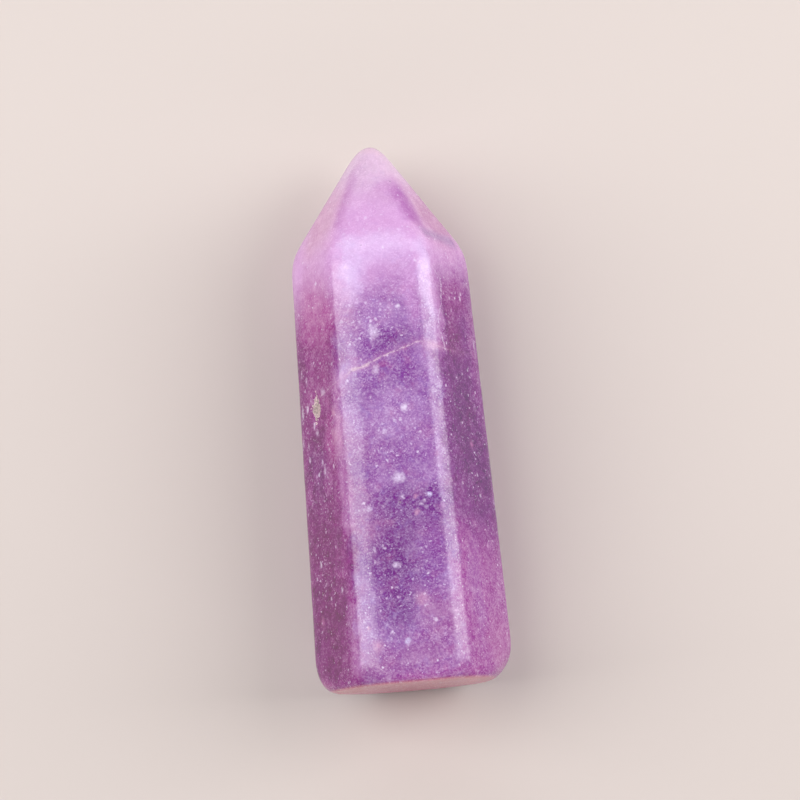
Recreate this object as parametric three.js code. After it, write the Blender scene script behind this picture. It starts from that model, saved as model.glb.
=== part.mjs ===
// A polished crystal point: a six-sided prism of stone that tapers a little towards its six-sided
// tip, with flat faces, softly rounded edges, a blunt apex and a flat cut base with worn corners.
// It is shaped standing on its base, axis up, and then laid on one prism face with its tip
// towards +Y. Its origin is the middle of the underside of its box. Millimetres, +Z up.

import * as THREE from 'three';

// Body
const sides = 6;
const baseCornerRadius = 8.84; // axis to a sharp prism corner, at the base
const faceLean = THREE.MathUtils.degToRad(1.23); // each prism face leans in towards the tip
const longEdgeRound = 2;

// Tip: the sharp apex that the faces aim at, and how far each face runs out for 1 mm down the axis.
// Sides are counted from the upper face, to the right as seen from above.
const apexHeight = 48.5;
const tipFaceSpread = [0.6, 0.582, 0.582, 0.6, 0.615, 0.615];
const tipEdgeRound = 1.5;
const shoulderRound = 1.1;
const apexWear = 1.28; // the stone ends this far below the sharp apex, but for its rounding
const apexRound = 2.25;

// Base: a flat cut square to the axis, with its corners worn. Corners are counted from the one
// between side 0 and side 1, and the two outer ones are worn the most.
const baseEdgeRound = 0.8;
const cornerWear = [0.4, 1.4, 0.5, 0.5, 1, 0.4];
const cornerWearAngle = THREE.MathUtils.degToRad(48); // below level, as seen with the stone upright
const cornerWearRound = 2;

// Surface mesh: rays from the axis meet the stone, in a fan at each end. Only one ring lies on the
// flat of the prism faces at each end, so every face is a few large triangles there.
const baseFanHeight = 5.5;
const tipFanHeight = 33;
const stationsPerHalfEdge = 4; // across half of a rounded long edge
const widestEdgeShare = 0.92; // of the way from a corner to the middle of its face
const surfaceTolerance = 1e-8;

const halfSide = Math.PI / sides;
const baseApothem = baseCornerRadius * Math.cos(halfSide);

// A plane that faces out at this azimuth and leans back by this angle, at this distance from the origin
function makeFace(azimuth, lean, offset) {
  return {
    x: Math.cos(lean) * Math.sin(azimuth),
    y: -Math.cos(lean) * Math.cos(azimuth),
    z: Math.sin(lean),
    offset,
  };
}

function makePrismFace(side) {
  return makeFace(2 * halfSide * side, faceLean, baseApothem * Math.cos(faceLean));
}

function makeTipFace(spread, side) {
  const lean = Math.atan(spread);
  return makeFace(2 * halfSide * side, lean, apexHeight * Math.sin(lean));
}

// A small slanting face that takes off one corner of the base, to the depth of its wear
function makeWornCorner(wear, corner) {
  const offset = baseCornerRadius * Math.cos(cornerWearAngle) - wear;
  return makeFace(halfSide * (2 * corner + 1), -cornerWearAngle, offset);
}

const prismFaces = Array.from({ length: sides }, (unused, side) => makePrismFace(side));
const tipFaces = tipFaceSpread.map(makeTipFace);
const wornCorners = cornerWear.map(makeWornCorner);

// The larger of two distances, blended where they differ by less than the rounding
function roundedMax(a, b, rounding) {
  const near = Math.max(rounding - Math.abs(a - b), 0) / rounding;
  return Math.max(a, b) + (near ** 3 * rounding) / 6;
}

function outsideFace(face, point) {
  return point.x * face.x + point.y * face.y + point.z * face.z - face.offset;
}

function outsideFaces(faces, point, rounding) {
  const distances = faces.map((face) => outsideFace(face, point));
  return distances.reduce((outermost, distance) => roundedMax(outermost, distance, rounding));
}

// How far a point is outside the finished stone, below zero inside it
function outsideStone(point) {
  const prism = outsideFaces(prismFaces, point, longEdgeRound);
  const tip = outsideFaces(tipFaces, point, tipEdgeRound);
  const pointed = roundedMax(prism, tip, shoulderRound);
  const blunted = roundedMax(pointed, point.z - (apexHeight - apexWear), apexRound);
  const corners = outsideFaces(wornCorners, point, cornerWearRound);
  const worn = roundedMax(blunted, corners, cornerWearRound);
  return roundedMax(worn, -point.z, baseEdgeRound);
}

// Where a ray from the axis leaves the stone. Stepping back by the distance never oversteps,
// because the stone is convex.
function meetStone(ray, azimuth) {
  const direction = new THREE.Vector3(
    Math.sin(ray.polar) * Math.sin(azimuth),
    -Math.sin(ray.polar) * Math.cos(azimuth),
    Math.cos(ray.polar),
  );
  const start = new THREE.Vector3(0, 0, ray.height);
  const point = new THREE.Vector3();
  let reach = apexHeight;
  let outside = apexHeight;
  while (Math.abs(outside) > surfaceTolerance) {
    point.copy(start).addScaledVector(direction, reach);
    outside = outsideStone(point);
    reach -= outside;
  }
  return point;
}

// Evenly spaced values from first up to, but without, last
function spaced(first, last, count) {
  return Array.from({ length: count }, (unused, index) => first + ((last - first) * index) / count);
}

function fan(height, firstAngle, lastAngle, count) {
  return spaced(firstAngle, lastAngle, count).map((angle) => ({
    height,
    polar: THREE.MathUtils.degToRad(angle),
  }));
}

// Rings of rays from the base to the tip, closest where the stone is rounded. Angles are in degrees
// from the tip's direction.
const rings = [
  ...fan(baseFanHeight, 165, 141, 2),
  ...fan(baseFanHeight, 141, 108, 11),
  ...fan(baseFanHeight, 108, 78, 2),
  ...fan(tipFanHeight, 76, 40, 12),
  ...fan(tipFanHeight, 40, 12, 7),
  ...fan(tipFanHeight, 12, 0, 6),
];

// How far to each side of a corner a ring's edge rounding reaches, as an angle about the axis
function edgeHalfAngle(ray) {
  const corner = meetStone(ray, halfSide);
  const radius = Math.hypot(corner.x, corner.y);
  const width = longEdgeRound / Math.sin(2 * halfSide);
  const inward = Math.max(radius - width * Math.sin(halfSide), width / 2);
  return Math.min(Math.atan2(width * Math.cos(halfSide), inward), widestEdgeShare * halfSide);
}

// Azimuths round one ring: a cluster over each rounded edge, and the flat faces between them
function ringAzimuths(ray) {
  const halfAngle = edgeHalfAngle(ray);
  const azimuths = [];
  for (let side = 0; side < sides; side += 1) {
    const corner = (2 * side + 1) * halfSide;
    for (let station = -stationsPerHalfEdge; station <= stationsPerHalfEdge; station += 1) {
      azimuths.push(corner + (halfAngle * station) / stationsPerHalfEdge);
    }
  }
  return azimuths;
}

// Triangles between two rings, and from a pole to its nearest ring, all facing out
function joinRings(count, lower, upper, triangles) {
  for (let index = 0; index < count; index += 1) {
    const next = (index + 1) % count;
    triangles.push(lower + index, lower + next, upper + next);
    triangles.push(lower + index, upper + next, upper + index);
  }
}

function joinPole(count, pole, ring, atTip, triangles) {
  for (let index = 0; index < count; index += 1) {
    const next = (index + 1) % count;
    triangles.push(pole, ring + (atTip ? index : next), ring + (atTip ? next : index));
  }
}

function makeStoneGeometry() {
  const points = rings.map((ray) => ringAzimuths(ray).map((azimuth) => meetStone(ray, azimuth)));
  const basePole = meetStone({ height: baseFanHeight, polar: Math.PI }, 0);
  const tipPole = meetStone({ height: tipFanHeight, polar: 0 }, 0);
  const stations = points[0].length;
  const vertices = [basePole, ...points.flat(), tipPole];
  const triangles = [];
  joinPole(stations, 0, 1, false, triangles);
  for (let ring = 0; ring + 1 < points.length; ring += 1) {
    joinRings(stations, 1 + ring * stations, 1 + (ring + 1) * stations, triangles);
  }
  joinPole(stations, vertices.length - 1, vertices.length - 1 - stations, true, triangles);

  const geometry = new THREE.BufferGeometry().setFromPoints(vertices);
  geometry.setIndex(triangles);
  geometry.computeVertexNormals();
  return geometry;
}

function makeCrystalPoint() {
  const stone = new THREE.MeshStandardMaterial({ color: 0xa06aa8, roughness: 0.25, metalness: 0 });
  const mesh = new THREE.Mesh(makeStoneGeometry(), stone);
  mesh.name = 'crystal_point';
  return mesh;
}

// The stone is shaped upright on its base, then laid down on the prism face opposite side 0
function layDown(upright) {
  const lying = new THREE.Group();
  lying.add(upright);
  lying.rotation.x = -(Math.PI / 2 + faceLean);
  lying.updateMatrixWorld(true);
  const box = new THREE.Box3().setFromObject(lying, true);
  const middle = box.getCenter(new THREE.Vector3());
  lying.position.set(-middle.x, -middle.y, -box.min.z);
  return lying;
}

const part = new THREE.Group();
part.add(layDown(makeCrystalPoint()));

export default part;
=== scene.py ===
# A polished point of massive lilac stone. It lies on one long face, with its tip towards +Y.
# Places and sizes in the dictionaries are in millimetres and angles in degrees.
import math

import bpy
from mathutils import Matrix, Vector


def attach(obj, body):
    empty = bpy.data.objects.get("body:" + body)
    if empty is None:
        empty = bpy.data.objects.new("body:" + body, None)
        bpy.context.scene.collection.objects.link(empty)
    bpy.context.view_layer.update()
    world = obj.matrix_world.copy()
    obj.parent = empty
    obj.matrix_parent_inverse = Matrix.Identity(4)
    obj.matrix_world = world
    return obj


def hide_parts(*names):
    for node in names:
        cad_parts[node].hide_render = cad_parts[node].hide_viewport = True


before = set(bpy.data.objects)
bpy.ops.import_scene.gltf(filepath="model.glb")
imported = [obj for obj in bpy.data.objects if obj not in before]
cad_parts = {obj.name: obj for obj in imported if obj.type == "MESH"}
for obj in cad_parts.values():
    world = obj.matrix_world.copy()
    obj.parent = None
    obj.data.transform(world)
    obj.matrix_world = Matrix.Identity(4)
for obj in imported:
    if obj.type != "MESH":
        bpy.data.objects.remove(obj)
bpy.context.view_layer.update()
millimetre = 0.001


# One socket of a node tree. Python's operators on it add Math nodes.
class Value:
    def __init__(self, nodes, socket):
        self.nodes = nodes
        self.socket = socket

    # Another output of the node that this socket belongs to
    def output(self, name):
        return Value(self.nodes, findSocket(self.socket.node.outputs, name))

    def __add__(self, other):
        return self.nodes.math("ADD", self, other)

    def __radd__(self, other):
        return self.nodes.math("ADD", other, self)

    def __sub__(self, other):
        return self.nodes.math("SUBTRACT", self, other)

    def __rsub__(self, other):
        return self.nodes.math("SUBTRACT", other, self)

    def __mul__(self, other):
        return self.nodes.math("MULTIPLY", self, other)

    def __rmul__(self, other):
        return self.nodes.math("MULTIPLY", other, self)

    def __truediv__(self, other):
        return self.nodes.math("DIVIDE", self, other)

    def __rtruediv__(self, other):
        return self.nodes.math("DIVIDE", other, self)


def findSocket(sockets, name):
    if isinstance(name, int):
        return sockets[name]
    return next(s for s in sockets if s.enabled and s.name == name)


def fillCurve(mapping, points):
    mapping.extend = "HORIZONTAL"
    curve = mapping.curves[0]
    while len(curve.points) < len(points):
        curve.points.new(1.0, 1.0)
    for dot, place in zip(curve.points, points):
        dot.location = place
    mapping.update()


class NodeBuilder:
    def __init__(self, tree):
        self.tree = tree

    # Adds a node of this type: first its settings, then the values or links of its sockets
    def add(self, kind, settings=None, inputs=None):
        node = self.tree.nodes.new(kind)
        for name, value in (settings or {}).items():
            if name == "points":
                fillCurve(node.mapping, value)
            else:
                setattr(node, name, value)
        for name, value in (inputs or {}).items():
            self.feed(findSocket(node.inputs, name), value)
        shown = [socket for socket in node.outputs if socket.enabled]
        return Value(self, shown[0]) if shown else node

    def feed(self, socket, value):
        if isinstance(value, Value):
            self.tree.links.new(value.socket, socket)
        else:
            socket.default_value = value

    def math(self, operation, *values):
        return self.add("ShaderNodeMath", {"operation": operation}, dict(enumerate(values)))

    def vector(self, operation, *vectors):
        return self.add("ShaderNodeVectorMath", {"operation": operation}, dict(enumerate(vectors)))

    def scaled(self, vector, factor):
        return self.add("ShaderNodeVectorMath", {"operation": "SCALE"}, {"Vector": vector, "Scale": factor})

    def combined(self, x, y, z):
        return self.add("ShaderNodeCombineXYZ", None, {"X": x, "Y": y, "Z": z})

    def split(self, vector):
        return self.add("ShaderNodeSeparateXYZ", None, {"Vector": vector})

    # From low to high between two values, smoothly; the first value may be the larger
    def ease(self, value, start, end, low=0.0, high=1.0):
        return self.add(
            "ShaderNodeMapRange", {"interpolation_type": "SMOOTHSTEP"},
            {"Value": value, "From Min": start, "From Max": end, "To Min": low, "To Max": high})

    def remap(self, value, start, end, low, high):
        return self.add(
            "ShaderNodeMapRange", {"clamp": True},
            {"Value": value, "From Min": start, "From Max": end, "To Min": low, "To Max": high})

    def mix(self, factor, first, second):
        return self.add("ShaderNodeMix", {"data_type": "RGBA"}, {"Factor": factor, "A": first, "B": second})

    # detail is how many finer layers the noise has, and roughness is how strong those are
    def noise(self, point, perMillimetre, detail=2.0, roughness=0.5):
        return self.add(
            "ShaderNodeTexNoise", {"noise_dimensions": "3D"},
            {"Vector": point, "Scale": perMillimetre, "Detail": detail, "Roughness": roughness})

    # Cells round scattered points that are about this far apart
    def cells(self, point, spacing):
        return self.add(
            "ShaderNodeTexVoronoi", {"voronoi_dimensions": "3D", "feature": "F1"},
            {"Vector": point, "Scale": 1.0 / spacing, "Randomness": 1.0})


noiseMiddle = 0.5  # noise runs from 0 to 1, and this is its average

# The stone's shape, as it is cut: standing on its base with the axis up
stonePoint = {
    "cornerRadius": 8.84,        # axis to a sharp corner of the prism, at the base
    "faceLean": 1.23,            # how far the prism faces lean in
    "longEdgeRound": 2.0,
    "apexHeight": 48.5,          # where the tip faces would meet
    "tipFaceSpread": [0.6, 0.582, 0.582, 0.6, 0.615, 0.615],  # upper face first, then round to the right
    "tipEdgeRound": 1.5,
    "shoulderRound": 1.1,
    "apexWear": 1.28,
    "apexRound": 2.25,
    "baseEdgeRound": 0.8,
    "cornerWear": [0.4, 1.4, 0.5, 0.5, 1.0, 0.4],  # from the corner right of the upper face
    "cornerWearAngle": 48.0,
    "cornerWearRound": 2.0,
    "waveDepth": 0.05,           # hand polishing leaves the faces a little uneven
    "waveSpacing": 3.6,
}
sides = 6
halfSide = math.pi / sides

# The skin of the stone: rays from the axis, in a fan at each end and level between them
stoneSkin = {
    "segments": 320,             # rays in a ring
    "rings": 296,
    "baseFanHeight": 6.0,
    "tipFanHeight": 33.0,
    "tipShare": 0.31,            # how much of the rings is in the tip's fan
    "baseShare": 0.24,
    "startDistance": 60.0,       # each ray is followed in from here
    "steps": 40,                 # and this many steps bring it to the surface
}

# The chip on the left face, on the stone as it lies
chip = {
    "centre": (-6.39, 0.82, 10.32),
    "across": (0.49, -0.13, 0.86),   # the way across the left face, upwards
    "along": (0.09, 0.992, 0.086),
    "halfWidth": 0.86,
    "halfLength": 1.25,
    "depth": 0.2,
    "floorShare": 0.75,              # how much of it, from the middle out, is at the full depth
    "rimNoise": {"perMillimetre": 3.4, "detail": 3.0, "roughness": 0.7},
    "raggedness": 2.2,               # how far the noise moves the rim
    "wholeTo": 2.5,                  # the noise draws nothing far from the centre
    "goneFrom": 3.75,
    "paleRim": (0.0, 0.2),           # where in its slope it gets pale, and then the floor's colours
    "floor": (0.5, 0.95),
    "roughness": 0.35,               # how much rougher it is than the polish
}


# The sizes one by one; those in a list get a number after its name
def singleSizes(sizes):
    singles = {}
    for name, size in sizes.items():
        if isinstance(size, list):
            singles.update({f"{name}{number}": single for number, single in enumerate(size)})
        else:
            singles[name] = size
    return singles


def addSizeInputs(tree, sizes):
    for name in singleSizes(sizes):
        tree.interface.new_socket(name, in_out="INPUT", socket_type="NodeSocketFloat")


# A plane's normal and its distance from the origin
def makePlane(nodes, azimuth, level, rise, distance):
    return nodes.combined(level * math.sin(azimuth), level * -math.cos(azimuth), rise), distance


def makePlanes(nodes, size):
    lean = nodes.math("RADIANS", size["faceLean"])
    leanCosine = nodes.math("COSINE", lean)
    leanSine = nodes.math("SINE", lean)
    apothem = size["cornerRadius"] * math.cos(halfSide)
    wearAngle = nodes.math("RADIANS", size["cornerWearAngle"])
    wearCosine = nodes.math("COSINE", wearAngle)
    wearSine = nodes.math("SINE", wearAngle)
    prism, tip, corners = [], [], []
    for side in range(sides):
        azimuth = 2 * halfSide * side
        prism.append(makePlane(nodes, azimuth, leanCosine, leanSine, apothem * leanCosine))
        tipLean = nodes.math("ARCTANGENT", size[f"tipFaceSpread{side}"])
        tipSine = nodes.math("SINE", tipLean)
        tipCosine = nodes.math("COSINE", tipLean)
        tip.append(makePlane(nodes, azimuth, tipCosine, tipSine, size["apexHeight"] * tipSine))
        reach = size["cornerRadius"] * wearCosine - size[f"cornerWear{side}"]
        corners.append(makePlane(nodes, azimuth + halfSide, wearCosine, 0.0 - wearSine, reach))
    return prism, tip, corners


def outsidePlanes(nodes, point, planes, rounding):
    outside = None
    for normal, distance in planes:
        one = nodes.vector("DOT_PRODUCT", point, normal) - distance
        outside = one if outside is None else nodes.math("SMOOTH_MAX", outside, one, rounding)
    return outside


# How far a point is outside the finished stone
def outsideStone(nodes, point, size, planes):
    prism, tip, corners = planes
    height = nodes.split(point).output("Z")
    body = outsidePlanes(nodes, point, prism, size["longEdgeRound"])
    pyramid = outsidePlanes(nodes, point, tip, size["tipEdgeRound"])
    pointed = nodes.math("SMOOTH_MAX", body, pyramid, size["shoulderRound"])
    overApex = height - (size["apexHeight"] - size["apexWear"])
    blunted = nodes.math("SMOOTH_MAX", pointed, overApex, size["apexRound"])
    wornCorners = outsidePlanes(nodes, point, corners, size["cornerWearRound"])
    worn = nodes.math("SMOOTH_MAX", blunted, wornCorners, size["cornerWearRound"])
    return nodes.math("SMOOTH_MAX", worn, 0.0 - height, size["baseEdgeRound"])


# Each point of a closed ball becomes a ray from the axis: where it starts, and which way it goes
def aimRays(nodes, skin):
    place = nodes.add("GeometryNodeInputPosition")
    parts = nodes.split(place)
    down = nodes.math("ARCCOSINE", parts.output("Z")) / math.pi
    lastLevel = 1.0 - skin["baseShare"]
    height = nodes.remap(down, skin["tipShare"], lastLevel, skin["tipFanHeight"], skin["baseFanHeight"])
    upper = nodes.remap(down, 0.0, skin["tipShare"], 0.0, math.pi / 2)
    lower = nodes.remap(down, lastLevel, 1.0, 0.0, math.pi / 2)
    slant = upper + lower
    outward = nodes.vector("NORMALIZE", nodes.combined(parts.output("X"), parts.output("Y"), 0.0))
    level = nodes.scaled(outward, nodes.math("SINE", slant))
    ray = nodes.vector("ADD", level, nodes.combined(0.0, 0.0, nodes.math("COSINE", slant)))
    return nodes.combined(0.0, 0.0, height), ray


def setPosition(nodes, geometry, settings):
    return nodes.add("GeometryNodeSetPosition", None, {"Geometry": geometry, **settings})


# Draws every point in along its ray until it lies on the stone
def meetStone(nodes, geometry, ray, size, planes, steps):
    startZone = nodes.tree.nodes.new("GeometryNodeRepeatInput")
    endZone = nodes.tree.nodes.new("GeometryNodeRepeatOutput")
    startZone.pair_with_output(endZone)
    startZone.inputs["Iterations"].default_value = steps
    nodes.feed(startZone.inputs["Geometry"], geometry)
    outside = outsideStone(nodes, nodes.add("GeometryNodeInputPosition"), size, planes)
    step = nodes.scaled(ray, 0.0 - outside)
    moved = setPosition(nodes, Value(nodes, startZone.outputs["Geometry"]), {"Offset": step})
    nodes.feed(endZone.inputs["Geometry"], moved)
    return Value(nodes, endZone.outputs["Geometry"])


# Lays the stone down on the face opposite its upper face, with its box standing on the origin
def layDown(nodes, geometry, size):
    tilt = 0.0 - (nodes.math("RADIANS", size["faceLean"]) + math.pi / 2)
    turned = nodes.add(
        "GeometryNodeTransform", None, {"Geometry": geometry, "Rotation": nodes.combined(tilt, 0.0, 0.0)})
    box = nodes.add("GeometryNodeBoundBox", None, {"Geometry": turned})
    middle = nodes.scaled(nodes.vector("ADD", box.output("Min"), box.output("Max")), 0.5)
    centre = nodes.split(middle)
    lowest = nodes.split(box.output("Min")).output("Z")
    shift = nodes.combined(0.0 - centre.output("X"), 0.0 - centre.output("Y"), 0.0 - lowest)
    return nodes.add("GeometryNodeTransform", None, {"Geometry": turned, "Translation": shift})


# How deep inside the chip a point is: 0 at the rim and past it, 1 on its floor
def chipShare(nodes, point):
    ragged = (nodes.noise(point, **chip["rimNoise"]) - noiseMiddle) * chip["raggedness"]
    fromCentre = nodes.vector("SUBTRACT", point, chip["centre"])
    across = nodes.vector("DOT_PRODUCT", fromCentre, chip["across"]) / chip["halfWidth"]
    along = nodes.vector("DOT_PRODUCT", fromCentre, chip["along"]) / chip["halfLength"]
    lozenge = nodes.math("ABSOLUTE", across) + nodes.math("ABSOLUTE", along)
    near = nodes.ease(nodes.vector("LENGTH", fromCentre), chip["goneFrom"], chip["wholeTo"])
    return nodes.ease(lozenge + ragged, 1.0, chip["floorShare"]) * near


# Sinks the skin a little, never out past the cut shape: slow waves of the polish, and the chip
def wearSkin(nodes, geometry, size):
    place = nodes.add("GeometryNodeInputPosition")
    waves = nodes.noise(place, 1.0 / size["waveSpacing"])
    depth = waves * size["waveDepth"] + chipShare(nodes, place) * chip["depth"]
    inward = nodes.scaled(nodes.add("GeometryNodeInputNormal"), 0.0 - depth)
    return setPosition(nodes, geometry, {"Offset": inward})


def makeStoneTree(sizes, skin):
    tree = bpy.data.node_groups.new("stone point", "GeometryNodeTree")
    addSizeInputs(tree, sizes)
    tree.interface.new_socket("finish", in_out="INPUT", socket_type="NodeSocketMaterial")
    tree.interface.new_socket("Geometry", in_out="OUTPUT", socket_type="NodeSocketGeometry")
    nodes = NodeBuilder(tree)
    given = tree.nodes.new("NodeGroupInput")
    size = {socket.name: Value(nodes, socket) for socket in given.outputs}
    planes = makePlanes(nodes, size)

    ball = nodes.add(
        "GeometryNodeMeshUVSphere", None,
        {"Segments": skin["segments"], "Rings": skin["rings"], "Radius": 1.0})
    start, ray = aimRays(nodes, skin)
    kept = tree.nodes.new("GeometryNodeCaptureAttribute")
    kept.capture_items.new("VECTOR", "Ray")
    nodes.feed(kept.inputs["Geometry"], ball)
    nodes.feed(kept.inputs["Ray"], ray)
    aimed = Value(nodes, kept.outputs["Ray"])
    far = nodes.vector("ADD", start, nodes.scaled(ray, skin["startDistance"]))
    spread = setPosition(nodes, Value(nodes, kept.outputs["Geometry"]), {"Position": far})
    cut = meetStone(nodes, spread, aimed, size, planes, skin["steps"])
    laid = layDown(nodes, cut, size)
    worn = wearSkin(nodes, laid, size)
    small = nodes.add("GeometryNodeTransform", None, {"Geometry": worn, "Scale": [millimetre] * 3})
    smooth = nodes.add("GeometryNodeSetShadeSmooth", None, {"Geometry": small})
    real = nodes.add("GeometryNodeRealizeInstances", None, {"Geometry": smooth})
    dressed = nodes.add("GeometryNodeSetMaterial", None, {"Geometry": real, "Material": size["finish"]})
    shown = tree.nodes.new("NodeGroupOutput")
    nodes.feed(shown.inputs["Geometry"], dressed)
    return tree


def setSizes(modifier, sizes, material):
    items = modifier.node_group.interface.items_tree
    identifiers = {item.name: item.identifier for item in items if item.in_out == "INPUT"}
    for name, size in singleSizes(sizes).items():
        modifier[identifiers[name]] = size
    modifier[identifiers["finish"]] = material


def makeStone(material):
    piece = bpy.data.objects.new("stone_point", bpy.data.meshes.new("stone_point"))
    bpy.context.scene.collection.objects.link(piece)
    modifier = piece.modifiers.new("shape", "NODES")
    modifier.node_group = makeStoneTree(stonePoint, stoneSkin)
    setSizes(modifier, stonePoint, material)
    bpy.context.view_layer.update()
    evaluated = piece.evaluated_get(bpy.context.evaluated_depsgraph_get())
    mesh = bpy.data.meshes.new_from_object(evaluated)
    piece.modifiers.remove(modifier)
    piece.data = mesh
    return piece


# A colour as a screen shows it, in steps of 255, turned into the light that it stands for (sRGB)
def colour(red, green, blue):
    def light(step):
        share = step / 255
        return share / 12.92 if share <= 0.04045 else ((share + 0.055) / 1.055) ** 2.4
    return light(red), light(green), light(blue), 1.0


stoneColours = {
    "lilac": colour(166, 124, 180),
    "violet": colour(140, 91, 156),
    "deepViolet": colour(116, 68, 132),
    "mauve": colour(162, 108, 160),
    "magenta": colour(168, 98, 158),
    "berry": colour(150, 72, 138),
    "plum": colour(124, 28, 113),
    "pinkLilac": colour(184, 110, 166),
    "heather": colour(160, 90, 156),
    "streak": colour(168, 98, 172),
    "haze": colour(164, 128, 176),
    # painted reflection colour for the flat base
    "paintedBaseReflection": colour(242, 148, 150),
    "dusk": colour(108, 32, 116),
    "grape": colour(122, 50, 128),
    "roseLilac": colour(190, 136, 188),
    "paleLilac": colour(212, 164, 214),
    "palePink": colour(205, 156, 188),
    "rosy": colour(182, 130, 166),
    # partly the tip's own colour, partly painted light shining through the thin tip
    "paleTip": colour(215, 185, 212),
    # painted highlight colour, for the shine on the rounded shoulder and the right long edge
    "paintedHighlight": colour(212, 184, 226),
    "milk": colour(226, 210, 236),
    "skyMilk": colour(214, 206, 240),
    "rose": colour(210, 156, 188),
    "roseRed": colour(190, 104, 146),
    "coolLilac": colour(142, 118, 192),
    "petal": colour(220, 188, 208),
    "cream": colour(240, 218, 218),
    "sand": colour(194, 168, 170),
    "moss": colour(150, 132, 130),
    "ink": colour(92, 46, 108),
}

stoneFinish = {
    "roughness": 0.22,
    "roughnessSpread": 0.1,        # from the smoothest grain to the roughest
    "lightBending": 1.55,          # index of refraction
    "glow": 0.25,                  # how much of the light wanders under the surface
    "glowReach": 1.6,
    "glowByColour": (1.0, 0.6, 0.95),
    "grainHeight": 0.003,
    "packedMilk": {0.3: 0.03, 0.13: 0.11},  # how much paler packed grains are, by their spacing
    "milkMiddle": 0.085,           # keeps the average colour as it is
    "leastMilk": 0.4,              # the mottling is weaker in one place than in another
    "milkSwing": 1.2,
    "sideDarker": 0.015,
    "sideSmudge": 0.2,             # light and dark smudges on the side faces
    "darkest": (0.05, 0.012, 0.06),
    "fewerInTip": 0.3,             # grains
    # The side faces' pinker tone is partly their own colour and partly a painted reflection of warm
    # surroundings
    "sideFrom": 3.7,               # off the middle line: both sides are pinker than the upper face
    "sideTo": 4.7,
    "sideBottom": 3.5,             # but their undersides are not
    "sideTop": 8.5,
    "sideStrength": 0.9,
    "violetSlant": 0.9,
    "violetFrom": -8.5,            # the right side is violet as far as this, and pinker below
    "violetTo": -3.0,
    # The paler tip is partly the stone's own colour and partly painted light shining through the thin tip
    "paleFrom": 7.2,               # along the stone: the tip end is paler
    "paleTo": 14.0,
    "paleSlant": 0.14,             # and the paleness reaches further down on the left
    "paleStrength": 0.95,
    "whiteFrom": 16.0,
    "whiteTo": 23.0,
    # Painted reflection: the flat base is tinted pink-beige, as warm surroundings mirrored at a grazing
    # angle would tint it
    "baseEdgeFrom": -23.15,        # the flat base is pinker, right up to its edge
    "baseEdgeTo": -23.44,
    "baseSlope": 0.0215,           # the base leans with the stone's axis
    "baseReflectionStrength": 0.6,
}

noises = {
    "grain": {"perMillimetre": 1.0 / 0.15, "detail": 2.0, "roughness": 0.6},  # 0.15 mm from grain to grain
    "milkSwing": {"perMillimetre": 0.6, "detail": 1.0},
    "smudges": {"perMillimetre": 1.3, "detail": 3.0, "roughness": 0.6},
}

# Masks out of noise: low up to where the noise reaches start, and high from end on
masks = {
    "mottle": {"perMillimetre": 0.22, "detail": 3.0, "start": 0.38, "end": 0.62},
    "mauve": {"perMillimetre": 0.13, "start": 0.45, "end": 0.65, "high": 0.6},
    "leftFace": {"perMillimetre": 0.5, "detail": 4.0, "roughness": 0.6, "start": 0.35, "end": 0.65},
    "softMilk": {"perMillimetre": 1.1, "detail": 4.0, "roughness": 0.65, "start": 0.42, "end": 0.85,
                 "high": 0.12},
    "fineMilk": {**noises["grain"], "start": 0.5, "end": 0.85, "high": 0.2},
    "redder": {"perMillimetre": 0.85, "detail": 4.0, "roughness": 0.7, "start": 0.5, "end": 0.72,
               "high": 0.15},
    "cooler": {"perMillimetre": 1.15, "detail": 4.0, "roughness": 0.7, "start": 0.48, "end": 0.3,
               "high": 0.2},
    "crowding": {"perMillimetre": 0.4, "detail": 3.0, "start": 0.4, "end": 0.68, "low": 0.3, "high": 2.0},
    "wornSpots": {"perMillimetre": 5.0, "start": 0.3, "end": 0.55, "low": 0.5},
    "crackGrains": {"perMillimetre": 4.0, "detail": 3.0, "roughness": 0.7, "start": 0.46, "end": 0.6,
                    "low": 0.15},
    "chipFloor": {"perMillimetre": 5.0, "start": 0.4, "end": 0.6},
}

# How much of a mask the pale tip and the side faces go without
thinning = {
    "milk": {"inTip": 0.45, "onSides": 0.15},
    "redder": {"inTip": 0.6, "onSides": 0.5},
    "cooler": {"inTip": 0.6, "onSides": 1.0},
}

# Noise that moves a point, by up to about half this reach, before something is drawn there
stirs = {
    "clouds": {"reach": 2.2, "perMillimetre": 0.45, "detail": 3.0},
    "cloudRims": {"reach": 0.7, "perMillimetre": 1.6, "detail": 3.0},
    "edgeShades": {"reach": 0.6, "perMillimetre": 0.8, "detail": 3.0},
    "flecks": {"reach": 0.34, "perMillimetre": 5.5, "detail": 3.0},
    "grainsAndGlints": {"reach": 0.45, "perMillimetre": 3.2, "detail": 3.0},
    "vein": {"reach": 0.16, "perMillimetre": 2.2, "detail": 4.0},
    "veinHalo": {"reach": 1.2, "perMillimetre": 2.2, "detail": 4.0},
    "veinBranch": {"reach": 0.3, "perMillimetre": 2.0, "detail": 2.0},
    "sideCrack": {"reach": 0.3, "perMillimetre": 2.0, "detail": 3.0},
}

# Where a patch begins to show and where it is whole, as shares of its reach
patchRims = {"clouds": (1.4, 0.3), "crowds": (1.2, 0.4), "grainsAndGlints": (1.5, 0.1)}

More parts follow.
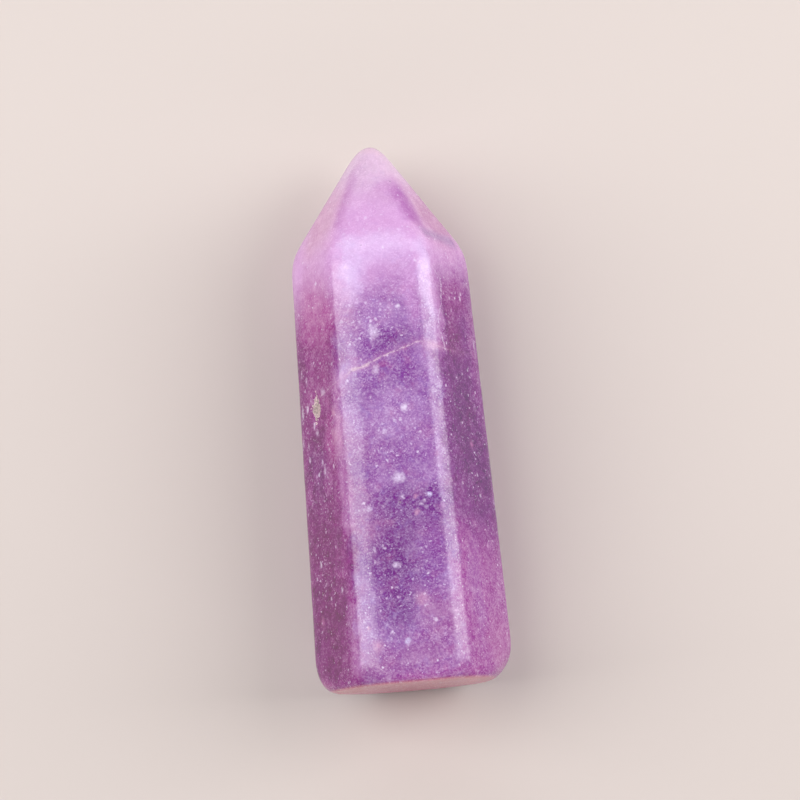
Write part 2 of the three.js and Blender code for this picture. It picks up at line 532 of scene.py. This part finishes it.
# Clouds of colour: the middle, the reach along x, y and z, the colour, and how strongly it shows
clouds = [
    # the tip and the shoulder
    ((-4.4, 17.0, 9.2), (2.4, 5.0, 3.6), "palePink", 0.7),
    ((4.9, 17.0, 8.2), (2.4, 5.0, 3.6), "rosy", 0.75),
    ((0.9, 18.6, 10.3), (1.8, 1.2, 1.5), "roseLilac", 0.4),
    # painted highlights: pale patches where the rounded shoulder and the right long edge catch the light
    ((0.4, 13.6, 13.2), (3.2, 1.8, 1.4), "paintedHighlight", 0.55),
    ((-2.3, 12.2, 13.5), (1.3, 2.6, 1.2), "paintedHighlight", 0.85),
    ((3.6, 12.4, 12.9), (0.8, 2.6, 1.2), "paintedHighlight", 0.6),
    ((3.9, 8.8, 13.4), (0.7, 3.4, 0.9), "paintedHighlight", 0.55),
    ((0.4, 23.1, 7.2), (1.6, 0.5, 2.0), "petal", 0.5),
    # the upper face, from the tip to the base
    ((2.5, 8.6, 13.7), (0.9, 3.2, 1.4), "paleLilac", 0.5),
    ((4.5, 8.2, 12.9), (0.6, 3.8, 1.2), "paleLilac", 0.5),
    ((0.4, 5.4, 13.6), (3.2, 1.6, 3.0), "violet", 0.8),
    ((0.9, 5.7, 13.6), (2.0, 0.9, 2.0), "deepViolet", 0.4),
    ((1.6, 2.9, 13.8), (2.0, 1.3, 2.0), "violet", 0.7),
    ((-0.6, 2.3, 13.9), (2.2, 1.2, 2.0), "violet", 0.6),
    ((1.5, 7.5, 13.6), (1.1, 0.7, 2.0), "lilac", 0.6),
    ((0.2, -0.6, 13.9), (3.4, 2.1, 3.0), "lilac", 0.85),
    ((1.1, -4.6, 14.2), (2.6, 1.4, 2.0), "violet", 0.65),
    ((0.8, -8.6, 14.0), (3.4, 2.6, 3.0), "deepViolet", 0.65),
    ((-0.6, -12.8, 14.0), (2.6, 3.8, 3.0), "deepViolet", 0.75),
    ((-0.8, -17.2, 14.0), (2.2, 2.0, 3.0), "deepViolet", 0.7),
    ((2.4, -13.5, 14.0), (1.4, 3.6, 3.0), "violet", 0.75),
    ((2.4, -17.6, 14.0), (1.8, 2.4, 3.0), "mauve", 0.7),
    ((0.4, -21.2, 14.0), (4.6, 1.8, 3.4), "mauve", 0.7),
    ((-3.2, -21.6, 14.4), (1.8, 1.6, 2.0), "mauve", 0.7),
    ((0.8, -22.8, 14.0), (4.8, 0.7, 3.4), "magenta", 0.8),
    # beside the healed crack
    ((-0.7, 3.75, 14.1), (0.9, 0.32, 0.6), "roseRed", 0.25),
    ((4.1, 5.2, 13.4), (1.1, 0.6, 1.0), "rose", 0.3),
    ((5.2, 4.9, 12.2), (0.8, 0.35, 0.9), "rose", 0.15),
    # the left face: partly its own colours, partly painted reflections, pink towards the tip and dark
    # towards the base
    ((-5.8, 8.8, 11.2), (2.8, 3.6, 4.2), "pinkLilac", 0.65),
    ((-6.2, 2.2, 10.2), (2.0, 2.8, 3.4), "berry", 0.75),
    ((-5.2, -2.2, 12.4), (1.0, 2.6, 1.8), "pinkLilac", 0.45),
    ((-6.6, -4.4, 10.2), (1.3, 2.6, 2.2), "dusk", 0.45),
    # painted sheen: a pale pink streak along the outer side of the left edge's highlight band
    ((-4.6, -2.0, 13.4), (0.6, 2.0, 0.9), "palePink", 0.6),
    ((-6.8, -11.0, 10.0), (2.4, 3.6, 3.8), "plum", 0.8),
    ((-6.6, -16.6, 10.6), (2.4, 3.4, 3.8), "plum", 0.95),
    ((-6.6, -20.6, 11.0), (2.0, 2.2, 3.4), "plum", 0.7),
    ((-7.9, -22.9, 9.0), (1.6, 0.9, 3.0), "pinkLilac", 0.6),
    # the right face
    ((6.2, 9.2, 10.4), (1.6, 2.2, 2.8), "berry", 0.5),
    ((5.7, 5.8, 11.4), (1.0, 2.2, 2.2), "plum", 0.55),
    ((6.0, -0.8, 11.2), (1.6, 5.0, 2.8), "dusk", 0.85),
    ((7.0, -5.6, 9.6), (1.8, 4.4, 2.8), "dusk", 0.8),
    ((7.6, 6.0, 8.2), (0.6, 6.0, 1.6), "mauve", 0.5),
    ((7.6, -15.0, 9.0), (1.6, 4.4, 2.6), "mauve", 0.5),
    ((7.4, -20.4, 9.4), (1.6, 3.0, 2.8), "rosy", 0.35),
    ((5.7, -15.6, 12.2), (0.9, 5.0, 1.6), "lilac", 0.35),
]

# Soft shades along the edges of the tip, beside the left long edge and at the left end of the healed
# crack: from where to where, their half width and their colour. fadeIn is how far they take to come up.
edgeShades = [
    {"from": (1.5, 21.0, 8.6), "to": (3.2, 16.3, 11.3), "halfWidth": 1.5, "colour": "streak",
     "strength": 0.95, "fadeIn": 3.4},
    {"from": (3.3, 16.3, 11.3), "to": (4.2, 14.8, 11.6), "halfWidth": 1.1, "colour": "streak",
     "strength": 0.5},
    {"from": (4.2, 14.8, 11.6), "to": (6.4, 14.3, 8.4), "halfWidth": 1.0, "colour": "haze",
     "strength": 0.8},
    {"from": (-0.9, 22.3, 8.0), "to": (-3.2, 16.2, 11.8), "halfWidth": 0.8, "colour": "streak",
     "strength": 0.4, "fadeIn": 3.0},
    # painted sheen: pale strips along the left long edge, beside its highlight band
    {"from": (-4.4, 4.8, 13.2), "to": (-4.5, -9.6, 13.9), "halfWidth": 1.3, "colour": "paleLilac",
     "strength": 0.36, "fadeIn": 2.0},
    {"from": (-4.6, -15.0, 14.1), "to": (-4.6, -21.4, 14.4), "halfWidth": 1.3, "colour": "paleLilac",
     "strength": 0.32, "fadeIn": 2.0},
    {"from": (-2.9, 3.36, 14.13), "to": (-1.7, 3.82, 14.15), "halfWidth": 0.24, "colour": "cream",
     "strength": 0.45},
]

# Single larger spots, in the same terms, with sharper rims than the clouds: partly grains of the stone,
# partly painted glints of mica flakes
grainsAndGlints = [
    # in the upper face
    ((1.06, -0.12, 14.32), (0.3, 0.34, 0.3), "milk", 0.85),
    ((0.6, -1.05, 14.36), (0.2, 0.16, 0.2), "milk", 0.6),
    ((-0.79, -1.99, 14.4), (0.22, 0.22, 0.2), "milk", 0.6),
    ((0.12, -5.97, 14.57), (0.55, 0.45, 0.4), "milk", 0.75),
    ((2.53, -7.62, 14.64), (0.26, 0.24, 0.3), "skyMilk", 0.95),
    ((-2.6, -8.4, 14.64), (0.24, 0.28, 0.3), "milk", 0.6),
    ((-3.0, -7.9, 14.6), (0.22, 0.1, 0.2), "milk", 0.7),
    ((1.35, -9.0, 14.7), (0.32, 0.26, 0.3), "rose", 0.65),
    ((1.84, -8.4, 14.68), (0.22, 0.2, 0.2), "milk", 0.6),
    ((2.03, -8.08, 14.66), (0.14, 0.14, 0.2), "milk", 0.7),
    ((1.37, -7.73, 14.65), (0.2, 0.2, 0.2), "rose", 0.6),
    ((0.31, -7.67, 14.65), (0.12, 0.16, 0.2), "milk", 0.7),
    ((0.02, -8.07, 14.66), (0.09, 0.09, 0.1), "moss", 0.8),
    ((-0.72, -13.3, 14.89), (0.32, 0.3, 0.3), "milk", 0.75),
    ((-1.56, -11.8, 14.82), (0.14, 0.14, 0.2), "milk", 0.6),
    ((1.1, -16.31, 15.01), (0.6, 0.62, 0.4), "rose", 0.5),
    ((-3.47, -18.32, 15.0), (0.16, 0.16, 0.2), "rose", 0.7),
    ((-1.6, -18.83, 15.12), (0.12, 0.14, 0.2), "milk", 0.9),
    ((-2.81, -19.89, 15.1), (0.45, 0.5, 0.3), "rose", 0.55),
    ((-0.34, -19.69, 15.16), (0.3, 0.34, 0.3), "skyMilk", 0.65),
    ((-0.89, 6.45, 14.04), (0.5, 0.6, 0.4), "milk", 0.5),
    ((1.27, 8.48, 13.95), (0.2, 0.24, 0.2), "milk", 0.8),
    ((-1.0, 3.3, 14.18), (0.36, 0.4, 0.3), "milk", 0.55),
    ((0.5, 13.63, 13.6), (0.12, 0.12, 0.2), "milk", 0.9),
    ((1.9, 15.15, 12.92), (0.1, 0.12, 0.2), "milk", 0.8),
    ((0.3, 15.31, 12.83), (0.06, 0.2, 0.2), "milk", 0.7),
    ((1.59, 19.85, 9.7), (0.09, 0.07, 0.1), "ink", 0.9),
    # in the left face
    ((-7.14, 0.92, 9.01), (0.16, 0.34, 0.25), "milk", 0.9),
    ((-7.6, 0.8, 8.11), (0.14, 0.6, 0.2), "milk", 0.8),
    ((-6.65, -0.59, 9.95), (0.12, 0.34, 0.16), "milk", 0.9),
    ((-6.4, -1.3, 10.4), (0.1, 0.24, 0.16), "milk", 0.7),
    ((-5.65, 2.05, 11.5), (0.3, 0.36, 0.5), "milk", 0.5),
    ((-5.35, 1.0, 12.2), (0.2, 0.5, 0.34), "pinkLilac", 0.6),
    ((-7.0, 3.3, 9.0), (0.1, 0.4, 0.2), "milk", 0.6),
    ((-6.53, -1.23, 10.19), (0.12, 0.2, 0.12), "milk", 0.5),
    ((-4.9, 0.1, 12.9), (0.3, 0.4, 0.3), "rose", 0.6),
    ((-7.74, -1.72, 8.0), (0.1, 0.4, 0.14), "milk", 0.7),
    ((-7.31, -2.15, 8.9), (0.1, 0.3, 0.14), "milk", 0.6),
    ((-7.3, -3.36, 9.0), (0.12, 0.26, 0.18), "milk", 0.75),
    ((-6.22, -3.84, 10.91), (0.14, 0.26, 0.16), "milk", 0.9),
    ((-6.06, -4.61, 11.23), (0.16, 0.5, 0.2), "milk", 0.45),
    ((-5.28, -4.4, 12.55), (0.12, 0.18, 0.14), "milk", 0.7),
    ((-7.12, -12.41, 9.9), (0.16, 0.3, 0.16), "milk", 0.8),
    ((-5.47, -14.85, 12.91), (0.16, 0.3, 0.16), "milk", 0.7),
    ((-7.37, -17.22, 9.78), (0.3, 0.5, 0.3), "pinkLilac", 0.6),
    # in the right face
    ((6.52, -3.36, 10.42), (0.3, 0.34, 0.3), "pinkLilac", 0.6),
    ((6.65, 9.21, 9.4), (0.14, 0.2, 0.14), "milk", 0.8),
    ((7.51, 5.32, 8.08), (0.2, 0.5, 0.2), "milk", 0.4),
]

# Fine pale and dark grains through the whole stone. spacing is from one possible place to the next,
# share is how many places have a grain, and radius runs from the smallest grain to the largest.
fleckLayers = [
    {"spacing": 0.25, "share": 0.4, "radius": (0.05, 0.09), "colour": "milk", "strength": 0.75},
    {"spacing": 0.44, "share": 0.38, "radius": (0.08, 0.16), "colour": "milk", "strength": 0.8},
    {"spacing": 0.95, "share": 0.32, "radius": (0.12, 0.25), "colour": "milk", "strength": 0.85},
    {"spacing": 1.7, "share": 0.34, "radius": (0.2, 0.5), "colour": "paleLilac", "strength": 0.5},
    {"spacing": 0.5, "share": 0.25, "radius": (0.07, 0.14), "colour": "ink", "strength": 0.35},
]
fleckCore = 0.35      # a grain has its full colour within this share of its radius
faintestFleck = 0.15  # as a share of the brightest

# Where the pale grains crowd: the middle, the reach, and how many more there are
fleckCrowds = [
    ((-0.6, 8.0, 13.9), (2.6, 3.4, 1.6), 1.8),
    ((0.6, -1.0, 14.3), (3.0, 3.0, 1.6), 0.8),
    ((0.8, -8.0, 14.6), (3.4, 1.6, 1.6), 1.0),
    ((-1.6, -13.0, 14.9), (1.8, 2.4, 1.6), 1.0),
    ((-2.6, -18.4, 15.1), (1.6, 3.0, 1.6), 1.6),
    ((-7.2, -0.6, 9.0), (1.4, 3.4, 1.8), 1.8),
    ((-6.4, -5.6, 10.6), (1.8, 4.4, 2.8), 2.6),
    ((-7.0, -14.0, 10.0), (1.4, 3.0, 2.4), 1.2),
    ((4.8, -3.0, 13.2), (0.8, 4.0, 1.2), 1.4),
]

# The healed crack that runs across the stone: its place along y for each place along x
vein = {
    "path": [(-9.0, 0.5), (-7.6, 0.95), (-6.1, 1.66), (-5.0, 2.26), (-4.1, 2.76), (-2.9, 3.36),
             (-1.9, 3.72), (-0.6, 4.24), (0.9, 4.76), (2.0, 5.09), (3.0, 5.34), (4.0, 5.0), (5.1, 4.66),
             (6.6, 4.55), (9.0, 4.5)],
    "strength": [(-9.0, 0.0), (-6.5, 0.0), (-6.0, 0.35), (-4.2, 0.25), (-3.4, 0.35), (-2.7, 1.0),
                 (-1.4, 0.9), (2.0, 0.75), (3.2, 0.45), (5.0, 0.3), (5.8, 0.12), (9.0, 0.08)],
    "paleness": 0.8,
    "halfWidth": 0.12,
    "groove": 0.03,
    "roughness": 0.2,              # how much rougher it is than the polish
    "haloWidth": 0.6,
    "haloStrength": 0.16,
    "haloOffSides": 0.7,           # how much of the halo the side faces go without
}

# A second, finer crack, beside the right edge of the upper face: its place along x for each along y
sideCrack = {
    "path": [(4.2, 5.1), (5.3, 4.88), (5.9, 4.77), (6.9, 4.62), (7.8, 4.78), (9.1, 5.05), (10.6, 5.06),
             (11.2, 4.77), (13.0, 4.5)],
    "strength": [(4.2, 0.0), (4.8, 0.6), (5.4, 0.9), (7.0, 0.9), (8.4, 0.75), (9.5, 0.8), (10.8, 0.6),
                 (12.4, 0.0), (13.0, 0.0)],
    "halfWidth": 0.055,
    "goneBelow": 8.5,
    "wholeAbove": 9.0,
}
scratch = {"from": (5.69, 8.2, 11.12), "to": (6.29, 7.68, 10.11), "halfWidth": 0.05, "strength": 0.7}
veinBranch = {"from": (-1.1, 4.6, 14.1), "to": (0.9, 5.3, 14.1), "halfWidth": 0.09, "strength": 0.4}
lineCore = 0.3  # a crack has its full colour within this share of its half width


def newMaterial(name):
    material = bpy.data.materials.new(name)
    material.use_nodes = True
    material.node_tree.nodes.clear()
    return material, NodeBuilder(material.node_tree)


def noiseMask(nodes, place, start, end, low=0.0, high=1.0, **noise):
    return nodes.ease(nodes.noise(place, **noise), start, end, low, high)


# Moves a point by a little noise, so that whatever is drawn there has uneven edges
def stirred(nodes, place, reach, **noise):
    stir = nodes.noise(place, **noise).output("Color")
    offset = nodes.vector("SUBTRACT", stir, [noiseMiddle] * 3)
    return nodes.vector("ADD", place, nodes.scaled(offset, reach))


def thinned(mask, side, pale, inTip, onSides):
    return mask * (1.0 - pale * inTip) * (1.0 - side * onSides)


# From 1 in the middle of an egg-shaped patch to 0 past its rim
def patch(nodes, place, middle, reach, rim):
    fromMiddle = nodes.vector("DIVIDE", nodes.vector("SUBTRACT", place, middle), reach)
    return nodes.ease(nodes.vector("LENGTH", fromMiddle), *rim)


# A smooth line through points, each with its place and its value
def follow(nodes, place, points):
    first, last = points[0][0], points[-1][0]
    lowest = min(value for _, value in points)
    span = max(value for _, value in points) - lowest
    dots = [((at - first) / (last - first), (value - lowest) / span) for at, value in points]
    share = (place - first) / (last - first)
    curve = nodes.add("ShaderNodeFloatCurve", {"points": dots}, {"Value": share})
    return curve * span + lowest


# From its strength on a straight line between two points to 0 at its half width
def lineShare(nodes, place, line, core=lineCore):
    start, end = Vector(line["from"]), Vector(line["to"])
    length = (end - start).length
    along = tuple((end - start).normalized())
    fromStart = nodes.vector("SUBTRACT", place, tuple(start))
    reach = nodes.remap(nodes.vector("DOT_PRODUCT", fromStart, along), 0.0, length, 0.0, length)
    distance = nodes.vector("DISTANCE", fromStart, nodes.scaled(along, reach))
    share = nodes.ease(distance, line["halfWidth"], line["halfWidth"] * core) * line["strength"]
    if "fadeIn" in line:
        share = share * nodes.ease(reach, 0.0, line["fadeIn"])
    return share


# How strongly a crack shows, this far from its middle line and this far along it
def crackShare(nodes, distance, along, crack):
    line = nodes.ease(nodes.math("ABSOLUTE", distance), crack["halfWidth"], crack["halfWidth"] * lineCore)
    return line * follow(nodes, along, crack["strength"])


# Leaves a crack in grains and short lengths
def brokenUp(nodes, place):
    return noiseMask(nodes, place, **masks["crackGrains"])


# How far a stirred point is from the healed crack, and where it is along it
def fromVein(nodes, place, stir):
    parts = nodes.split(stirred(nodes, place, **stir))
    along = parts.output("X")
    return parts.output("Y") - follow(nodes, along, vein["path"]), along


def veinShare(nodes, place):
    distance, along = fromVein(nodes, place, stirs["vein"])
    return crackShare(nodes, distance, along, vein) * brokenUp(nodes, place)


# The stone is a little pinker for a short way on both sides of the crack
def veinHalo(nodes, place, side):
    distance, _ = fromVein(nodes, place, stirs["veinHalo"])
    halo = nodes.ease(nodes.math("ABSOLUTE", distance), vein["haloWidth"], 0.0, 0.0, vein["haloStrength"])
    return halo * (1.0 - side * vein["haloOffSides"])


def sideCrackShare(nodes, place):
    parts = nodes.split(stirred(nodes, place, **stirs["sideCrack"]))
    distance = parts.output("X") - follow(nodes, parts.output("Y"), sideCrack["path"])
    upper = nodes.ease(parts.output("Z"), sideCrack["goneBelow"], sideCrack["wholeAbove"])
    return crackShare(nodes, distance, parts.output("Y"), sideCrack) * upper * brokenUp(nodes, place)


# Grains scattered through the stone, round where the surface cuts them
def scatterFlecks(nodes, place, layer, crowding):
    cells = nodes.cells(place, layer["spacing"])
    chance = nodes.add("ShaderNodeSeparateColor", None, {"Color": cells.output("Color")})
    smallest, largest = (radius / layer["spacing"] for radius in layer["radius"])
    radius = chance.output("Green") * (largest - smallest) + smallest
    inside = nodes.ease(cells.output("Distance") / radius, 1.0, fleckCore)
    present = nodes.math("LESS_THAN", chance.output("Red"), crowding * layer["share"])
    bright = chance.output("Blue") * chance.output("Blue") * (1.0 - faintestFleck) + faintestFleck
    return inside * present * bright * layer["strength"]


# Flat grains packed side by side, a few of them bright
def packedGrains(nodes, place, spacing):
    cells = nodes.cells(place, spacing)
    chance = nodes.add("ShaderNodeSeparateColor", None, {"Color": cells.output("Color")}).output("Red")
    return chance * chance


def sideShare(nodes, parts):
    aside = nodes.math("ABSOLUTE", parts.output("X"))
    upper = nodes.ease(parts.output("Z"), stoneFinish["sideBottom"], stoneFinish["sideTop"])
    return nodes.ease(aside, stoneFinish["sideFrom"], stoneFinish["sideTo"]) * upper


# side colours: partly the stone's own, partly a painted reflection of warm surroundings
def sideColour(nodes, place, across, along):
    patchy = noiseMask(nodes, place, **masks["leftFace"])
    leftColour = nodes.mix(patchy, stoneColours["plum"], stoneColours["berry"])
    lowered = along + across * stoneFinish["violetSlant"]
    violet = nodes.ease(lowered, stoneFinish["violetFrom"], stoneFinish["violetTo"])
    rightColour = nodes.mix(violet, stoneColours["heather"], stoneColours["grape"])
    return nodes.mix(nodes.math("GREATER_THAN", across, 0.0), leftColour, rightColour)


# Painted reflection: how far a place is on the flat base, which is tinted as if it mirrored warm
# surroundings
def baseShare(nodes, place):
    parts = nodes.split(place)
    upright = parts.output("Y") - parts.output("Z") * stoneFinish["baseSlope"]
    return nodes.ease(upright, stoneFinish["baseEdgeFrom"], stoneFinish["baseEdgeTo"])


# The clouds of colour, and how far each place is on a side face and in the pale tip
def stoneColour(nodes, place):
    uneven = stirred(nodes, stirred(nodes, place, **stirs["clouds"]), **stirs["cloudRims"])
    mottle = noiseMask(nodes, uneven, **masks["mottle"])
    base = nodes.mix(mottle, stoneColours["violet"], stoneColours["lilac"])
    base = nodes.mix(noiseMask(nodes, uneven, **masks["mauve"]), base, stoneColours["mauve"])
    parts = nodes.split(uneven)
    across, along = parts.output("X"), parts.output("Y")
    side = sideShare(nodes, parts)
    base = nodes.mix(side * stoneFinish["sideStrength"], base, sideColour(nodes, uneven, across, along))
    # paler towards the tip: partly its own colour, partly painted light shining through the thin tip
    slanting = along - across * stoneFinish["paleSlant"]
    pale = nodes.ease(slanting, stoneFinish["paleFrom"], stoneFinish["paleTo"])
    base = nodes.mix(pale * stoneFinish["paleStrength"], base, stoneColours["paleLilac"])
    white = nodes.ease(along, stoneFinish["whiteFrom"], stoneFinish["whiteTo"])
    base = nodes.mix(white, base, stoneColours["paleTip"])
    for middle, reach, tint, strength in clouds:
        cloud = patch(nodes, uneven, middle, reach, patchRims["clouds"])
        base = nodes.mix(cloud * strength, base, stoneColours[tint])
    bent = stirred(nodes, place, **stirs["edgeShades"])
    for shade in edgeShades:
        base = nodes.mix(lineShare(nodes, bent, shade, core=0.0), base, stoneColours[shade["colour"]])
    # painted reflection on the flat base
    base = nodes.mix(baseShare(nodes, place) * stoneFinish["baseReflectionStrength"], base, stoneColours["paintedBaseReflection"])
    return base, side, pale


# How much paler or darker the milky mottling makes each place
def milkiness(nodes, place, side, pale):
    milky = noiseMask(nodes, place, **masks["softMilk"]) + noiseMask(nodes, place, **masks["fineMilk"])
    milky = milky - stoneFinish["milkMiddle"]
    for spacing, strength in stoneFinish["packedMilk"].items():
        milky = milky + packedGrains(nodes, place, spacing) * strength
    swing = nodes.noise(place, **noises["milkSwing"]) * stoneFinish["milkSwing"] + stoneFinish["leastMilk"]
    milky = thinned(milky, side, pale, **thinning["milk"]) * swing - side * stoneFinish["sideDarker"]
    smudges = (nodes.noise(place, **noises["smudges"]) - noiseMiddle) * side * stoneFinish["sideSmudge"]
    return milky + smudges


# Mottling, redder and cooler spots, grains, and single larger grains and painted glints on top of the
# clouds
def speckled(nodes, place, base, side, pale):
    milky = milkiness(nodes, place, side, pale)
    base = nodes.vector("ADD", base, nodes.combined(milky, milky, milky))
    for name, tint in (("redder", "roseRed"), ("cooler", "coolLilac")):
        spots = noiseMask(nodes, place, **masks[name])
        base = nodes.mix(thinned(spots, side, pale, **thinning[name]), base, stoneColours[tint])
    base = nodes.vector("MAXIMUM", base, stoneFinish["darkest"])
    crowding = noiseMask(nodes, place, **masks["crowding"]) - pale * stoneFinish["fewerInTip"]
    for middle, reach, more in fleckCrowds:
        crowding = crowding + patch(nodes, place, middle, reach, patchRims["crowds"]) * more
    shaken = stirred(nodes, place, **stirs["flecks"])
    for layer in fleckLayers:
        base = nodes.mix(scatterFlecks(nodes, shaken, layer, crowding), base, stoneColours[layer["colour"]])
    ragged = stirred(nodes, place, **stirs["grainsAndGlints"])
    worn = noiseMask(nodes, place, **masks["wornSpots"])
    # larger grains, and painted glints of mica flakes
    for middle, reach, tint, strength in grainsAndGlints:
        spot = patch(nodes, ragged, middle, reach, patchRims["grainsAndGlints"])
        base = nodes.mix(spot * worn * strength, base, stoneColours[tint])
    return base


# The cracks, the scratch and the chip
def scarred(nodes, place, base, side, veinMask, chipMask):
    base = nodes.mix(veinHalo(nodes, place, side), base, stoneColours["rose"])
    bent = stirred(nodes, place, **stirs["veinBranch"])
    branch = lineShare(nodes, bent, veinBranch) * brokenUp(nodes, place)
    base = nodes.mix(veinMask * vein["paleness"] + branch, base, stoneColours["petal"])
    fine = sideCrackShare(nodes, place) + lineShare(nodes, place, scratch)
    base = nodes.mix(fine, base, stoneColours["milk"])
    base = nodes.mix(nodes.ease(chipMask, *chip["paleRim"]), base, stoneColours["cream"])
    patchy = noiseMask(nodes, place, **masks["chipFloor"])
    chipFloor = nodes.mix(patchy, stoneColours["moss"], stoneColours["sand"])
    return nodes.mix(nodes.ease(chipMask, *chip["floor"]), base, chipFloor)


def makeStoneFinish():
    material, nodes = newMaterial("polished lilac stone")
    metres = nodes.add("ShaderNodeTexCoord").output("Object")
    place = nodes.scaled(metres, 1.0 / millimetre)
    base, side, pale = stoneColour(nodes, place)
    base = speckled(nodes, place, base, side, pale)
    veinMask = veinShare(nodes, place)
    chipMask = chipShare(nodes, place)
    base = scarred(nodes, place, base, side, veinMask, chipMask)

    grain = nodes.noise(place, **noises["grain"])
    roughness = (grain - noiseMiddle) * stoneFinish["roughnessSpread"] + stoneFinish["roughness"]
    roughness = roughness + veinMask * vein["roughness"] + chipMask * chip["roughness"]
    height = grain * stoneFinish["grainHeight"] - veinMask * vein["groove"]
    relief = nodes.add("ShaderNodeBump", None, {"Strength": 1.0, "Distance": millimetre, "Height": height})
    surface = nodes.add(
        "ShaderNodeBsdfPrincipled", None,
        {"Base Color": base, "Roughness": roughness, "IOR": stoneFinish["lightBending"], "Normal": relief,
         "Subsurface Weight": stoneFinish["glow"],
         "Subsurface Scale": stoneFinish["glowReach"] * millimetre,
         "Subsurface Radius": stoneFinish["glowByColour"]})
    nodes.add("ShaderNodeOutputMaterial", None, {"Surface": surface})
    return material


paleFloor = {"halfWidth": 1500.0, "colour": colour(206, 195, 190), "roughness": 0.8}


def makeFloor():
    material, nodes = newMaterial("pale floor")
    surface = nodes.add(
        "ShaderNodeBsdfPrincipled", None,
        {"Base Color": paleFloor["colour"], "Roughness": paleFloor["roughness"]})
    nodes.add("ShaderNodeOutputMaterial", None, {"Surface": surface})
    half = paleFloor["halfWidth"] * millimetre
    corners = [(-half, -half, 0), (half, -half, 0), (half, half, 0), (-half, half, 0)]
    mesh = bpy.data.meshes.new("floor")
    mesh.from_pydata(corners, [], [(0, 1, 2, 3)])
    mesh.materials.append(material)
    floor = bpy.data.objects.new("floor", mesh)
    bpy.context.scene.collection.objects.link(floor)


# Soft light panels round the stone, with a dark gap straight above it. aside is where a panel begins
# and ends as seen from the stone, in degrees off the vertical towards +X, and along is the same for
# +Y, the tip's side.
panelDistance = 320.0
panels = {
    "leftPanel": {"aside": (-75.0, -7.0), "along": (-7.0, 20.0), "brightness": 4.4},
    "rightPanel": {"aside": (27.0, 90.0), "along": (-8.0, 20.0), "brightness": 4.9},
    "tipPanel": {"aside": (-50.0, 50.0), "along": (34.0, 66.0), "brightness": 1.4},
    "basePanel": {"aside": (-50.0, 50.0), "along": (-74.0, -50.0), "brightness": 1.4},
}
roomLight = {"colour": colour(255, 250, 250), "strength": 0.06}


# The middle of a panel's two angles, and how wide the panel is between them
def panelSpan(angles):
    start, end = angles
    return math.radians((start + end) / 2), 2 * panelDistance * math.tan(math.radians(end - start) / 2)


def hangPanel(name, panel):
    aside, wide = panelSpan(panel["aside"])
    along, high = panelSpan(panel["along"])
    acrossPanel = Vector((math.cos(aside), 0, -math.sin(aside)))
    outward = Vector((
        math.sin(aside) * math.cos(along), math.sin(along), math.cos(aside) * math.cos(along)))
    lamp = bpy.data.lights.new(name, "AREA")
    lamp.shape = "RECTANGLE"
    lamp.size = wide * millimetre
    lamp.size_y = high * millimetre
    lamp.energy = panel["brightness"] * math.pi * lamp.size * lamp.size_y
    holder = bpy.data.objects.new(name, lamp)
    turn = Matrix((acrossPanel, outward.cross(acrossPanel), outward)).transposed().to_4x4()
    holder.matrix_world = Matrix.Translation(outward * panelDistance * millimetre) @ turn
    holder.visible_camera = False
    bpy.context.scene.collection.objects.link(holder)


def lightRoom():
    world = bpy.data.worlds.new("room")
    world.use_nodes = True
    background = world.node_tree.nodes["Background"]
    background.inputs["Color"].default_value = roomLight["colour"]
    background.inputs["Strength"].default_value = roomLight["strength"]
    bpy.context.scene.world = world
    for name, panel in panels.items():
        hangPanel(name, panel)


# The photograph looks almost straight down, from a little towards the base
camera = {
    "aim": (0.78, 1.22, 7.65),
    "distance": 320.0,
    "tilt": 6.165,
    "roll": 5.105,
    "lens": 168.25,
    "sensorWidth": 36.0,
    "clipStart": 0.01,             # in metres
}


def placeCamera():
    data = bpy.data.cameras.new("camera")
    data.lens = camera["lens"]
    data.sensor_width = camera["sensorWidth"]
    data.clip_start = camera["clipStart"]
    tilt = Matrix.Rotation(math.radians(camera["tilt"]), 4, "X")
    turn = tilt @ Matrix.Rotation(math.radians(-camera["roll"]), 4, "Z")
    back = turn @ Vector((0, 0, camera["distance"]))
    eye = bpy.data.objects.new("camera", data)
    eye.matrix_world = Matrix.Translation((Vector(camera["aim"]) + back) * millimetre) @ turn
    bpy.context.scene.collection.objects.link(eye)
    bpy.context.scene.camera = eye


placeCamera()
print("camera placed")
stone = makeStone(makeStoneFinish())
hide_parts("crystal_point")
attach(stone, "root")
print("stone made,", len(stone.data.polygons), "faces")
makeFloor()
lightRoom()
bpy.context.scene.view_settings.view_transform = "Standard"
print("floor and lights placed")
